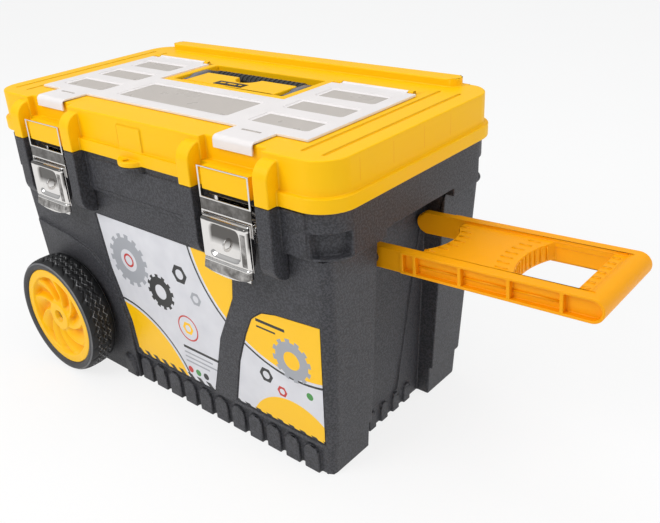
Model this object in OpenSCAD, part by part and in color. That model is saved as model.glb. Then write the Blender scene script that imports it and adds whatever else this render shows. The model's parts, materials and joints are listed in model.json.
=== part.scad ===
// Wheeled plastic tool chest: black tub, yellow lid with a clear organiser cover, two draw latches,
// a folding carry handle on the lid, a swing-out pull handle at one end and two big wheels at the other.
// Origin at the middle of the footprint on the floor, +X towards the pull handle, -Y the front, +Z up.

/* [Lid] */
// Length of the lid rim
lid_l = 610; // [560:1:680]
// Depth of the lid rim
lid_w = 322; // [310:1:350]
// Height of the rim band
rim_h = 16; // [12:1:22]
// Height of the lid above the rim band
crown_h = 37; // [36:1:46]
// Inset of the lid above the rim band
crown_inset = 5; // [3:0.5:7]
// Corner radius of the rim
lid_r = 40; // [30:1:50]
// Wall of the lid
lid_wall = 4; // [3:0.5:5]
// Height of the bead along the back of the lid
bead_h = 10; // [6:1:14]
// Depth of the bead along the back of the lid
bead_w = 24; // [16:1:28]
// Gap between the lid and the tub
lid_gap = 0.4; // [0.3:0.1:0.8]

/* [Tub] */
// Height of the tub up to the lid
tub_h = 348; // [320:1:380]
// Length of the tub at the floor
foot_l = 540; // [500:1:560]
// Depth of the tub at the floor
foot_w = 280; // [270:1:290]
// Length of the tub under the collar
waist_l = 576; // [564:1:584]
// Depth of the tub under the collar
waist_w = 302; // [296:1:304]
// Height of the collar
collar_h = 54; // [48:1:60]
// Inset of the collar from the lid rim
collar_inset = 5; // [3:0.5:8]
// Wall of the tub
tub_wall = 4; // [3:0.5:5]
// Floor of the tub
tub_floor = 6; // [4:0.5:10]
// Width of the recess for the pull handle
bay_w = 132; // [128:1:150]
// Depth of that recess at the floor
bay_d = 22; // [20:1:26]
// Pitch of the ribs along the skirt
skirt_pitch = 31; // [26:1:40]
// Width of a skirt rib
skirt_rib_w = 23; // [16:1:25]
// Height of a skirt rib
skirt_rib_h = 38; // [25:1:40]
// Height of the skirt
skirt_h = 42; // [40:1:50]
// Inset of the skirt from the walls above it
skirt_in = 4; // [2:0.5:5]

/* [Latches] */
// Distance of each latch from the middle
latch_x = 168.5; // [160:0.5:176]
// Width of the latch frame
latch_w = 77; // [70:0.5:80]
// Sheet thickness of the latch
latch_t = 1.5; // [1.2:0.1:1.8]
// Radius of the lever pin
lever_pin_r = 1.5; // [1:0.1:1.8]
// Radius of the frame pins
frame_pin_r = 1.2; // [0.8:0.1:1.4]
// Width of the guard ribs beside a latch
guard_w = 20; // [16:1:22]

/* [Handles] */
// Length of the carry handle between its arms
carry_l = 172; // [150:1:176]
// Reach of the carry handle from pivot to grip
carry_reach = 53; // [45:1:55]
// Radius of the carry grip
carry_grip_r = 10.5; // [8:0.5:11]
// Radius of the carry handle pins
carry_pin_r = 3; // [2:0.5:4]
// Width of the pull handle
pull_w = 116; // [106:1:116]
// Length of the pull handle from its pivot
pull_l = 255; // [230:1:258]
// Height of the pull handle rails
pull_h = 26; // [22:1:28]
// Lift of the pull handle as shown, in degrees
pull_tilt = 2.8; // [0:0.1:6]
// Radius of the pull handle pins
pull_pin_r = 5; // [3:0.5:7]

/* [Wheels] */
// Distance of the axle from the middle
wheel_x = 197; // [185:1:205]
// Radius of the tyre
tyre_r = 87.5; // [80:0.5:92]
// Radius of the yellow wheel
disc_r = 73.5; // [66:0.5:76]
// Width of the wheel
wheel_w = 42; // [36:1:50]
// Radius of the stub axle
axle_r = 8; // [6:0.5:10]
// Number of curved spokes
spoke_count = 9; // [6:1:10]

/* [Fits] */
// Radial clearance of a pin that turns
pin_gap = 0.05; // [0.02:0.01:0.1]
// Clearance between loose pieces
loose_gap = 0.4; // [0.3:0.1:0.6]

/* [Hidden] */
$fn = 48;
hull_fn = 32;
wheel_fn = 96;
eps = 0.01;
seat_gap = 0.05;
yellow = "gold";
charcoal = "#34353a";
steel = "silver";

// Heights
waist_z = tub_h - collar_h;
lid_z = tub_h + lid_gap;
rim_top = lid_z + rim_h;
deck_z = rim_top + crown_h;
ledge_z = waist_z + 16;

// Plan of the tub, the collar and the lid above its rim
tub_r = 14;
tub_inner_r = lid_r / 2;
collar_l = lid_l - 2 * collar_inset;
collar_w = lid_w - 2 * collar_inset;
collar_r = lid_r;
collar_wall = 5;
crown_l = lid_l - 2 * crown_inset;
crown_w = lid_w - 2 * crown_inset;
front_y = -collar_w / 2;
wall_lean = atan((waist_w - foot_w) / 2 / waist_z);

// Sunk label panels, raised badge and padlock tabs on the front
panel_sunk = 2;
film_t = 0.45;
film_inset = 1.5;
badge_half = 92;
badge_rise = 2;
lock_half = 22;
lock_t = 7;
shackle_r = 4;
shackle_y = front_y - 10;

// Notches under the right-hand corners of the collar, and the plate between each and its guard rib
notch_x = 270;
notch_y = 123;
notch_d = 10;
notch_foot = waist_z + 3;
notch_top = waist_z + 30;
notch_wall = 4;
plate_rise = 3;

// Latch, measured outwards from the collar front and up from the lid joint
plate_y = front_y - 13;
lever_y = plate_y - latch_t - loose_gap;
lever_top = tub_h - 26;
pivot_y = front_y - 8;
pivot_z = lever_top - 4;
link_y = plate_y + 1.5;
link_z = pivot_z - 8;
frame_strip = lever_top + 2;
window_z = tub_h - 7;
frame_top = tub_h + 28;
keeper_top = frame_top - latch_t - loose_gap;
arm_t = 1.8;
arm_eye_r = 3;
lever_w = latch_w - 2 * (arm_t + loose_gap);
frame_side = 2.4;
lip_z = tub_h - 91;
cheek_foot = lip_z + 20;
dish_half = 17;
eye_r = 8;
rivet_x = 22;
rivet_z = pivot_z - 14;
rivet_r = 2;
rivet_head_r = 3.6;
rivet_depth = 3;
guard_y = front_y - 18;
guard_in = latch_w / 2 + 9;

// Carry handle
carry_arm = 12;
carry_play = 2;
recess_w = carry_l + 2 * (carry_arm + carry_play);
panel_w = recess_w + 2 * 14;
panel_front = -10;
panel_top = deck_z + 2.5;
carry_eye_r = 9;
carry_pin_l = 6;
finger_r = 20;
carry_y = 11;
carry_z = deck_z - 10;
recess_front = carry_y - 10.5;
recess_back = carry_y + carry_reach + carry_grip_r + 8;
recess_floor = carry_z - carry_grip_r - 5;

// Organiser pockets, bins and cover
pocket_out = 232;
pocket_in = panel_w / 2 + 4;
pocket_front = -110;
pocket_back = 72;
pocket_floor = lid_z + 17.5;
divider = 3;
bin_wall = 1.6;
cover_t = 3;
cover_z = deck_z + loose_gap;
cover_half = 240;
cover_front = -114;
cover_back = 78;
hinge_y = 83.5;
hinge_z = cover_z + 1.2;
hinge_r = 3.2;
hinge_pin_r = 1.5;
barrel_in = pocket_in + 10;
barrel_out = pocket_out - 6;
tab_w = 58;
tab_reach = 38;
tab_drop = 11;
tab_t = 2.5;
window_in = 134;
window_out = 222;
window_front = cover_front + 20;
window_pitch = 57;
window_d = 37;
window_sunk = 1;
centre_window = 102;
groove_x = [cover_half + 10, cover_half + 37];
groove_half = 1.5;
deck_hollow = 110;

// Lid hinge
knuckle_r = 7;
lid_hinge_y = lid_w / 2 + knuckle_r + 1;
lid_hinge_z = tub_h + 2;
lid_pin_r = 3;
hinge_x = 170;
knuckle_l = 20;

// Pull handle
bay_top = waist_z + 10;
bay_x = foot_l / 2 - bay_d;
bay_rise = (waist_l - foot_l) / 2 - 4;
boss_r = pull_pin_r + 2;
pull_skin = 2;
bay_rib_h = 27;
bay_rib_w = 14;
bay_rib_t = 4;
bay_rib_pitch = 25;
pull_z = waist_z - 32;
pull_x = bay_x + bay_rise * pull_z / waist_z + pull_h / 2 + 2;
rail_w = 12;
rail_flange = 3;
rail_sunk = 7;
rail_rib = 4;
rail_cell_x = 54;
rail_cell_l = 50;
rail_cell_first = 12;
pull_plate_x = 52;
pull_plate_t = 6;
pull_plate_drop = 9;
pull_window_x = pull_l - 107;
pull_window_l = 74;
pull_window_w = pull_w - 2 * rail_w - 2;
pull_arch = 12;
pull_arch_r = (pow(pull_window_w / 2, 2) + pow(pull_arch, 2)) / (2 * pull_arch);
pull_arch_t = 4;
pull_start = 34;
pull_slim = 1.5;

// Wheels
axle_z = tyre_r + 0.4;
wheel_in = foot_w / 2 + 13;
wheel_out = wheel_in + wheel_w;
hub_r = 21;
cap_t = 4;
cap_r = axle_r + 1.4;
axle_end = wheel_out - 12;
fender_x = -wheel_x + tyre_r + 22;
fender_rise = 3.5;
boss_gap = 1;
axle_depth = 10;
tyre_shoulder = 6;
tyre_crown = 3;
press_gap = 0.02;

// Lift-out tray that hangs on the ledge inside the collar, clear of the narrower of waist and collar
tray_play = 7;
tray_l = 270;
tray_start = max(-waist_l / 2 + tub_wall, -collar_l / 2 + collar_wall) + tray_play;
tray_end = tray_start + tray_l;
tray_half = min(waist_w / 2 - tub_wall, collar_w / 2 - collar_wall) - tray_play;
tray_rim = collar_w / 2 - collar_wall - 1.5;
tray_rim_t = 4;
tray_rim_in = 20;
tray_wall = 3;
tray_drop = 46;
tray_floor = ledge_z - tray_drop;
tray_top = tub_h - 8;
tray_bar_r = 9;

// Base outlines and bars
module round_rect(l, w, r) {
    square([l - 2 * r, w], center = true);
    square([l, w - 2 * r], center = true);
    for (x = [-1, 1], y = [-1, 1])
        translate([x * (l / 2 - r), y * (w / 2 - r)]) circle(r);
}

module slab(l, w, r, z, h) {
    translate([0, 0, z]) linear_extrude(h) round_rect(l, w, r);
}

module block(x0, x1, y0, y1, z0, z1) {
    translate([x0, y0, z0]) cube([x1 - x0, y1 - y0, z1 - z0]);
}

// A block whose two places along X are given from the middle outwards, on the left or on the right
module side_block(side, near, far, y0, y1, z0, z1) {
    block(min(side * near, side * far), max(side * near, side * far), y0, y1, z0, z1);
}

// A bar along X; its outline is drawn in Y and Z
module along_x(x0, x1) {
    translate([x0, 0, 0]) rotate([90, 0, 90]) linear_extrude(x1 - x0) children();
}

// A sheet of some thickness across X, centred on x
module sheet_x(x, thick) {
    along_x(x - thick / 2, x + thick / 2) children();
}

// A bar along Y; its outline is drawn in X and Z
module along_y(y0, y1) {
    translate([0, y1, 0]) rotate([90, 0, 0]) linear_extrude(y1 - y0) children();
}

module rod_x(r, x0, x1, y, z) {
    translate([x0, y, z]) rotate([0, 90, 0]) cylinder(r = r, h = x1 - x0);
}

// A rod along X between two places given from the middle outwards, on the left or on the right
module side_rod(side, r, near, far, y, z) {
    rod_x(r, min(side * near, side * far), max(side * near, side * far), y, z);
}

module rod_y(r, y0, y1, x, z) {
    translate([x, y1, z]) rotate([90, 0, 0]) cylinder(r = r, h = y1 - y0);
}

module rod_z(r, z0, z1, x, y) {
    translate([x, y, z0]) cylinder(r = r, h = z1 - z0);
}

// The tapered tub, drawn in by an inset on every side
module taper(inset, r, z0, z1) {
    shrink = (waist_l - foot_l) / waist_z;
    shrink_w = (waist_w - foot_w) / waist_z;
    hull() {
        for (z = [z0, z1])
            translate([0, 0, z])
                linear_extrude(eps)
                    round_rect(foot_l + shrink * z - 2 * inset, foot_w + shrink_w * z - 2 * inset, r,
                        $fn = hull_fn);
    }
}

// Recess at the right-hand end for the folded pull handle, grown by a wall
module handle_bay(grow) {
    far = lid_l;
    along_y(-bay_w / 2 - grow, bay_w / 2 + grow)
        polygon([[bay_x - grow, -1], [far, -1], [far, bay_top + grow],
            [bay_x + bay_rise - grow, bay_top + grow]]);
}

// Outline in Y and Z of a guard rib below the lid joint
module guard_foot() {
    reach = front_y + 4 - guard_y;
    turn_z = waist_z - 9;
    translate([guard_y, turn_z]) square([reach, tub_h - turn_z]);
    intersection() {
        translate([front_y + 4, turn_z]) circle(reach);
        translate([guard_y, turn_z - reach]) square([reach, reach + eps]);
    }
}

// Outline in Y and Z of a guard rib on the lid
module guard_head() {
    reach = front_y + 1 - guard_y;
    turn_z = deck_z - reach - 6;
    translate([guard_y, lid_z]) square([reach, turn_z - lid_z]);
    intersection() {
        translate([front_y + 1, turn_z]) circle(reach);
        translate([guard_y, turn_z - eps]) square([reach, reach + eps]);
    }
}

module guard_ribs() {
    for (side = [-1, 1], edge = [-1, 1]) {
        middle = side * latch_x + edge * (guard_in + guard_w / 2);
        along_x(middle - guard_w / 2, middle + guard_w / 2) children();
    }
}

// Ribs standing along the foot of the front and the back, clear of the wheel
module skirt_ribs() {
    first = fender_x + skirt_rib_w / 2 + 4;
    last = foot_l / 2 - tub_r - skirt_rib_w / 2;
    count = floor((last - first) / skirt_pitch);
    for (i = [0:count])
        along_y(-foot_w / 2 - 1.5, -foot_w / 2 + skirt_in + tub_wall / 2)
            translate([first + i * skirt_pitch, 0]) {
                translate([-skirt_rib_w / 2, 0]) square([skirt_rib_w, skirt_rib_h - skirt_rib_w / 2]);
                translate([0, skirt_rib_h - skirt_rib_w / 2]) circle(skirt_rib_w / 2);
            }
}

// Outline in X and Z of the sunk panels on the front
module centre_panel(inset) {
    top = waist_z - 38 - inset;
    foot = skirt_h + 2 + inset;
    polygon([[-116 + inset, top], [145 - inset, top], [137 - inset, top - 50], [103 - inset, top - 118],
        [76 - inset, foot], [-83 + inset, foot], [-86 + inset, foot + 49], [-108 + inset, foot + 130]]);
}

module side_panel(inset) {
    top = waist_z - 82 - inset;
    foot = skirt_h + 6 + inset;
    left = 116 + inset;
    right = foot_l / 2 - tub_r + 6 - inset;
    polygon([[left, foot], [left + 16, foot + 66], [left + 34, foot + 112], [left + 47, foot + 138],
        [left + 64, top - 11], [left + 86, top - 6], [right + 8, top], [right, foot]]);
}

// A flat outline laid on the leaning front wall, sunk by depth and proud by rise
module on_front(depth, rise) {
    translate([0, -foot_w / 2, 0])
        rotate([wall_lean, 0, 0])
            along_y(-rise, depth) children();
}

// Raised fender panel behind the wheel and the boss that holds the axle
module wheel_station() {
    left = -foot_l / 2 + tub_r;
    on_front(skirt_in + 1, fender_rise)
        polygon([[left, 0], [fender_x, 0], [fender_x - 1, axle_z + 4], [fender_x - 14, axle_z + 48],
            [fender_x - 28, axle_z + 79], [fender_x - 56, axle_z + 103], [fender_x - 104, axle_z + 116],
            [left - 12, axle_z + 124]]);
    rod_y(hub_r, -wheel_in + boss_gap, -foot_w / 2 + axle_depth - tub_wall, -wheel_x, axle_z);
}

// Solid corner inside the collar, and the notch cut round it from outside
module corner_pillar() {
    block(notch_x - notch_wall, lid_l / 2, -lid_w / 2, notch_wall - notch_y, notch_foot - 9,
        notch_top + notch_wall);
}

module corner_notch() {
    difference() {
        block(notch_x, lid_l / 2, -lid_w / 2, -notch_y, notch_foot, notch_top);
        slab(collar_l - 2 * notch_d, collar_w - 2 * notch_d, collar_r - notch_d, 0, tub_h);
    }
}

// Short ribs at the foot of the handle recess
module bay_ribs() {
    for (i = [-1.5:1:1.5])
        along_x(bay_x - tub_wall / 2, bay_x + bay_rib_t)
            translate([i * bay_rib_pitch, 0]) {
                translate([-bay_rib_w / 2, 0]) square([bay_rib_w, bay_rib_h - bay_rib_w / 2]);
                translate([0, bay_rib_h - bay_rib_w / 2]) circle(bay_rib_w / 2);
            }
}

module body_tub() {
    color(charcoal)
        difference() {
            union() {
                difference() {
                    union() {
                        taper(skirt_in, tub_r - skirt_in, 0, skirt_h - eps);
                        taper(0, tub_r, skirt_h, waist_z);
                        slab(collar_l, collar_w, collar_r, waist_z, collar_h);
                    }
                    handle_bay(0);
                    on_front(panel_sunk, guard_w) centre_panel(0);
                    on_front(panel_sunk, guard_w) side_panel(0);
                }
                guard_ribs() guard_foot();
                bay_ribs();
                for (m = [0, 1]) mirror([0, m, 0]) {
                    skirt_ribs();
                    wheel_station();
                }
                for (side = [-1, 1])
                    side_block(side, latch_x + guard_in + guard_w - 1, notch_x - 2, front_y - plate_rise,
                        front_y + plate_rise, notch_foot, tub_h - 2);
                // Raised badge and padlock tab in the middle of the collar
                block(-badge_half, badge_half, front_y - badge_rise, front_y + badge_rise, waist_z + 6,
                    tub_h - lock_t - 1);
                rod_z(lock_half, tub_h - lock_t, tub_h, 0, guard_y + lock_half);
                // Knuckles of the lid hinge
                for (side = [-1, 1], end = [-1, 1]) {
                    x = side * hinge_x + end * knuckle_l - knuckle_l / 2;
                    block(x, x + knuckle_l, collar_w / 2 - 2, lid_hinge_y, tub_h - 10, tub_h - eps);
                    rod_x(knuckle_r, x, x + knuckle_l, lid_hinge_y, lid_hinge_z);
                }
                // Bosses that carry the pull handle
                for (end = [0, 1]) mirror([0, end, 0])
                    rod_y(boss_r, pull_w / 2 + loose_gap, bay_w / 2 + tub_wall, pull_x, pull_z);
            }
            // Inside of the tub and the wider collar above the tray ledge
            difference() {
                union() {
                    taper(tub_wall + skirt_in, tub_inner_r, tub_floor, skirt_h + tub_floor - eps);
                    taper(tub_wall, tub_inner_r, skirt_h + tub_floor, ledge_z - eps);
                    slab(collar_l - 2 * collar_wall, collar_w - 2 * collar_wall, collar_r - collar_wall,
                        ledge_z, tub_h);
                }
                handle_bay(tub_wall);
                for (m = [0, 1]) mirror([0, m, 0]) {
                    rod_y(hub_r, -wheel_in, -foot_w / 2 + axle_depth + tub_wall, -wheel_x, axle_z);
                    corner_pillar();
                }
            }
            for (m = [0, 1]) mirror([0, m, 0])
                corner_notch();
            // Bores
            for (m = [0, 1]) mirror([0, m, 0])
                rod_y(axle_r, -wheel_out, -foot_w / 2 + axle_depth, -wheel_x, axle_z);
            for (side = [-1, 1]) {
                rod_x(lid_pin_r, side * hinge_x - 2 * knuckle_l, side * hinge_x + 2 * knuckle_l,
                    lid_hinge_y, lid_hinge_z);
            }
            for (m = [0, 1]) mirror([0, m, 0])
                rod_y(pull_pin_r, pull_w / 2 - rail_w, bay_w / 2 + tub_wall + 1, pull_x, pull_z);
            rod_z(shackle_r, tub_h - 2 * lock_t, tub_h + 1, 0, shackle_y);
            for (side = [-1, 1], end = [-1, 1])
                rod_y(rivet_r, front_y - 1, front_y + rivet_depth, side * latch_x + end * rivet_x, rivet_z);
        }
}

module wheel_axles() {
    color(steel)
        for (m = [0, 1]) mirror([0, m, 0])
            rod_y(axle_r, -axle_end, -foot_w / 2 + axle_depth, -wheel_x, axle_z);
}

// Push nuts on the axle ends, sunk in the hubs
module axle_caps() {
    color("dimgray")
        for (m = [0, 1]) mirror([0, m, 0])
            difference() {
                rod_y(cap_r, -axle_end - 1, -axle_end - 1 + cap_t, -wheel_x, axle_z);
                rod_y(axle_r, -axle_end, -axle_end + cap_t, -wheel_x, axle_z);
            }
}

// Curved spokes between the hub and the rim of the wheel
module spokes() {
    bend = 34;
    thick = 5;
    for (i = [0:spoke_count - 1])
        rotate(i * 360 / spoke_count)
            intersection() {
                difference() {
                    circle(disc_r - 6, $fn = wheel_fn);
                    circle(hub_r - 3);
                }
                translate([disc_r / 2 + 4, -bend + 10])
                    difference() {
                        circle(bend + thick / 2);
                        circle(bend - thick / 2);
                    }
                translate([0, -bend / 2 + 8]) square([disc_r, disc_r]);
            }
}

module wheel_disc() {
    color(yellow)
        difference() {
            union() {
                along_y(-wheel_out + 3, -wheel_in - 6)
                    translate([-wheel_x, axle_z])
                        difference() {
                            circle(disc_r, $fn = wheel_fn);
                            circle(disc_r - 11, $fn = wheel_fn);
                        }
                along_y(-wheel_out + 14, -wheel_out + 18)
                    translate([-wheel_x, axle_z]) circle(disc_r - 4, $fn = wheel_fn);
                along_y(-wheel_out + 6, -wheel_out + 16)
                    translate([-wheel_x, axle_z]) spokes();
                rod_y(hub_r, -wheel_out + 5, -wheel_in - loose_gap, -wheel_x, axle_z);
            }
            rod_y(axle_r + pin_gap, -wheel_out - 1, 0, -wheel_x, axle_z);
            rod_y(cap_r + loose_gap, -wheel_out - 1, -axle_end - 1 + cap_t + loose_gap, -wheel_x, axle_z);
        }
}

module wheel_disc_front() {
    wheel_disc();
}

module wheel_disc_rear() {
    mirror([0, 1, 0]) wheel_disc();
}

module tyre() {
    half = wheel_w / 2;
    seat_r = disc_r + press_gap;
    wall_r = tyre_r - tyre_shoulder;
    crown_r = tyre_r - tyre_crown;
    tread = half - 2 * tyre_shoulder;
    color("#1c1c1e")
        translate([-wheel_x, -wheel_in - half, axle_z])
            rotate([90, 0, 0])
                rotate_extrude($fn = wheel_fn)
                    polygon([[seat_r, tyre_crown - half], [wall_r, -half], [crown_r, tyre_shoulder - half],
                        [tyre_r, -tread], [tyre_r, tread],
                        [crown_r, half - tyre_shoulder], [wall_r, half], [seat_r, half - tyre_crown]]);
}

module tyre_front() {
    tyre();
}

module tyre_rear() {
    mirror([0, 1, 0]) tyre();
}

module latch_base(side) {
    x = side * latch_x;
    ear = latch_w / 2 + loose_gap;
    ear_half = 7;
    ear_r = 4.5;
    color(steel)
        difference() {
            union() {
                block(x - ear - latch_t, x + ear + latch_t, front_y - latch_t - seat_gap, front_y - seat_gap,
                    pivot_z - 20, tub_h - 9);
                for (end = [-1, 1])
                    sheet_x(x + end * (ear + latch_t / 2), latch_t) {
                        translate([pivot_y, pivot_z - ear_half])
                            square([front_y - seat_gap - pivot_y, 2 * ear_half]);
                        translate([pivot_y, pivot_z]) circle(ear_r);
                    }
            }
            rod_x(lever_pin_r, x - latch_w, x + latch_w, pivot_y, pivot_z);
            for (end = [-1, 1])
                rod_y(rivet_r, front_y - 5, front_y + 1, x + end * rivet_x, rivet_z);
        }
}

module latch_base_left() {
    latch_base(-1);
}

module latch_base_right() {
    latch_base(1);
}

module latch_rivets() {
    color(steel)
        for (side = [-1, 1], end = [-1, 1]) {
            x = side * latch_x + end * rivet_x;
            seat = front_y - latch_t - seat_gap;
            rod_y(rivet_r, seat - seat_gap, front_y + rivet_depth, x, rivet_z);
            rod_y(rivet_head_r, seat - 1.15, seat, x, rivet_z);
        }
}

module latch_lever_pins() {
    color(steel)
        for (side = [-1, 1]) {
            reach = latch_w / 2 + latch_t + 1;
            rod_x(lever_pin_r, side * latch_x - reach, side * latch_x + reach, pivot_y, pivot_z);
        }
}

module latch_lever(side) {
    x = side * latch_x;
    half = lever_w / 2;
    face_y = lever_y - latch_t;
    dish_z = cheek_foot + dish_half;
    cheek_r = 4;
    color(steel)
        difference() {
            union() {
                // Face plate with a lip that curls outwards at the foot
                block(x - half, x + half, face_y, lever_y, lip_z + 12, lever_top);
                along_x(x - half + 3, x + half - 3)
                    polygon([[lever_y, lip_z + 13], [face_y, lip_z + 13], [face_y - 3, lip_z],
                        [lever_y - 3, lip_z]]);
                // Side cheeks that reach back to the pivot
                for (end = [-1, 1])
                    sheet_x(x + end * (half - latch_t / 2), latch_t) {
                        polygon([[lever_y, cheek_foot], [lever_y, lever_top], [pivot_y, lever_top],
                            [pivot_y + 3.5, pivot_z], [pivot_y, link_z - 6], [lever_y + 2, cheek_foot]]);
                        translate([pivot_y, pivot_z]) circle(cheek_r);
                    }
                // Raised square with a padlock eye in its middle
                block(x - dish_half, x + dish_half, face_y - 1.2, face_y + eps, dish_z - dish_half,
                    dish_z + dish_half);
                sheet_x(x + 2, 2)
                    difference() {
                        translate([face_y - 1, dish_z]) circle(eye_r);
                        translate([face_y - 3, dish_z]) circle(eye_r / 2);
                        translate([face_y, dish_z - eye_r - 1]) square(2 * eye_r + 2);
                    }
            }
            rod_x(lever_pin_r + pin_gap, x - latch_w, x + latch_w, pivot_y, pivot_z);
            rod_x(frame_pin_r, x - latch_w, x + latch_w, link_y, link_z);
        }
}

module latch_lever_left() {
    latch_lever(-1);
}

module latch_lever_right() {
    latch_lever(1);
}

// Frame that reaches up over the keeper block of the lid
module latch_frame(side) {
    x = side * latch_x;
    half = latch_w / 2;
    color(steel)
        difference() {
            union() {
                block(x - half, x + half, plate_y - latch_t, plate_y, frame_strip, frame_top);
                for (end = [-1, 1])
                    sheet_x(x + end * (half - arm_t / 2), arm_t) {
                        translate([plate_y - latch_t, link_z]) square([latch_t, frame_strip + 2 - link_z]);
                        translate([link_y, link_z]) circle(arm_eye_r);
                    }
            }
            block(x - half + frame_side, x + half - frame_side, plate_y - 5, plate_y + 5, window_z,
                frame_top - latch_t);
            rod_x(frame_pin_r + pin_gap, x - latch_w, x + latch_w, link_y, link_z);
        }
}

module latch_frame_left() {
    latch_frame(-1);
}

module latch_frame_right() {
    latch_frame(1);
}

module latch_frame_pins(side) {
    x = side * latch_x;
    color(steel)
        for (end = [-1, 1]) {
            inner = x + end * (lever_w / 2 - latch_t);
            outer = x + end * (latch_w / 2);
            rod_x(frame_pin_r, min(inner, outer), max(inner, outer), link_y, link_z);
        }
}

module latch_frame_pins_left() {
    latch_frame_pins(-1);
}

module latch_frame_pins_right() {
    latch_frame_pins(1);
}

module lid_hinge_pins() {
    reach = 1.5 * knuckle_l;
    color(steel)
        for (side = [-1, 1])
            rod_x(lid_pin_r, side * hinge_x - reach, side * hinge_x + reach, lid_hinge_y, lid_hinge_z);
}

module pull_handle_pins() {
    color(steel)
        for (m = [0, 1]) mirror([0, m, 0])
            rod_y(pull_pin_r, pull_w / 2 - rail_w + pull_skin + 1, bay_w / 2 + tub_wall, pull_x, pull_z);
}

module centre_label() {
    color("khaki") on_front(panel_sunk - seat_gap, film_t + seat_gap - panel_sunk) centre_panel(film_inset);
}

module side_label() {
    color("khaki") on_front(panel_sunk - seat_gap, film_t + seat_gap - panel_sunk) side_panel(film_inset);
}

module tote_tray() {
    color("dimgray")
        difference() {
            union() {
                block(tray_start, tray_end, -tray_half, tray_half, tray_floor, tray_top);
                block(tray_start + tray_rim_in, tray_end - tray_rim_in, -tray_rim, tray_rim, ledge_z,
                    ledge_z + tray_rim_t);
            }
            block(tray_start + tray_wall, tray_end - tray_wall, -tray_half + tray_wall,
                tray_half - tray_wall, tray_floor + tray_wall, tray_top + 1);
        }
}

module tote_tray_handle() {
    color(yellow)
        rod_x(tray_bar_r, tray_start + tray_wall, tray_end - tray_wall, 0, tray_top - tray_bar_r - 1);
}

// Three pockets in the lid, grown or shrunk by a gap
module pockets(gap, z0, z1) {
    for (side = [-1, 1]) {
        x = side * (pocket_in + pocket_out) / 2;
        half = (pocket_out - pocket_in) / 2 - gap;
        block(x - half, x + half, pocket_front + gap, pocket_back - gap, z0, z1);
    }
    inner = pocket_in - divider - gap;
    block(-inner, inner, pocket_front + gap, panel_front - 6 - gap, z0, z1);
}

// Island between the arms of the carry handle, with a scoop for the fingers
module carry_island() {
    half = carry_l / 2 - 4;
    back = carry_y + carry_reach - carry_grip_r - 5.5;
    difference() {
        block(-half, half, recess_front - 1, back, recess_floor - 1, panel_top - 1);
        rod_z(finger_r, recess_floor, panel_top + 1, 0, back);
    }
}

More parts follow.
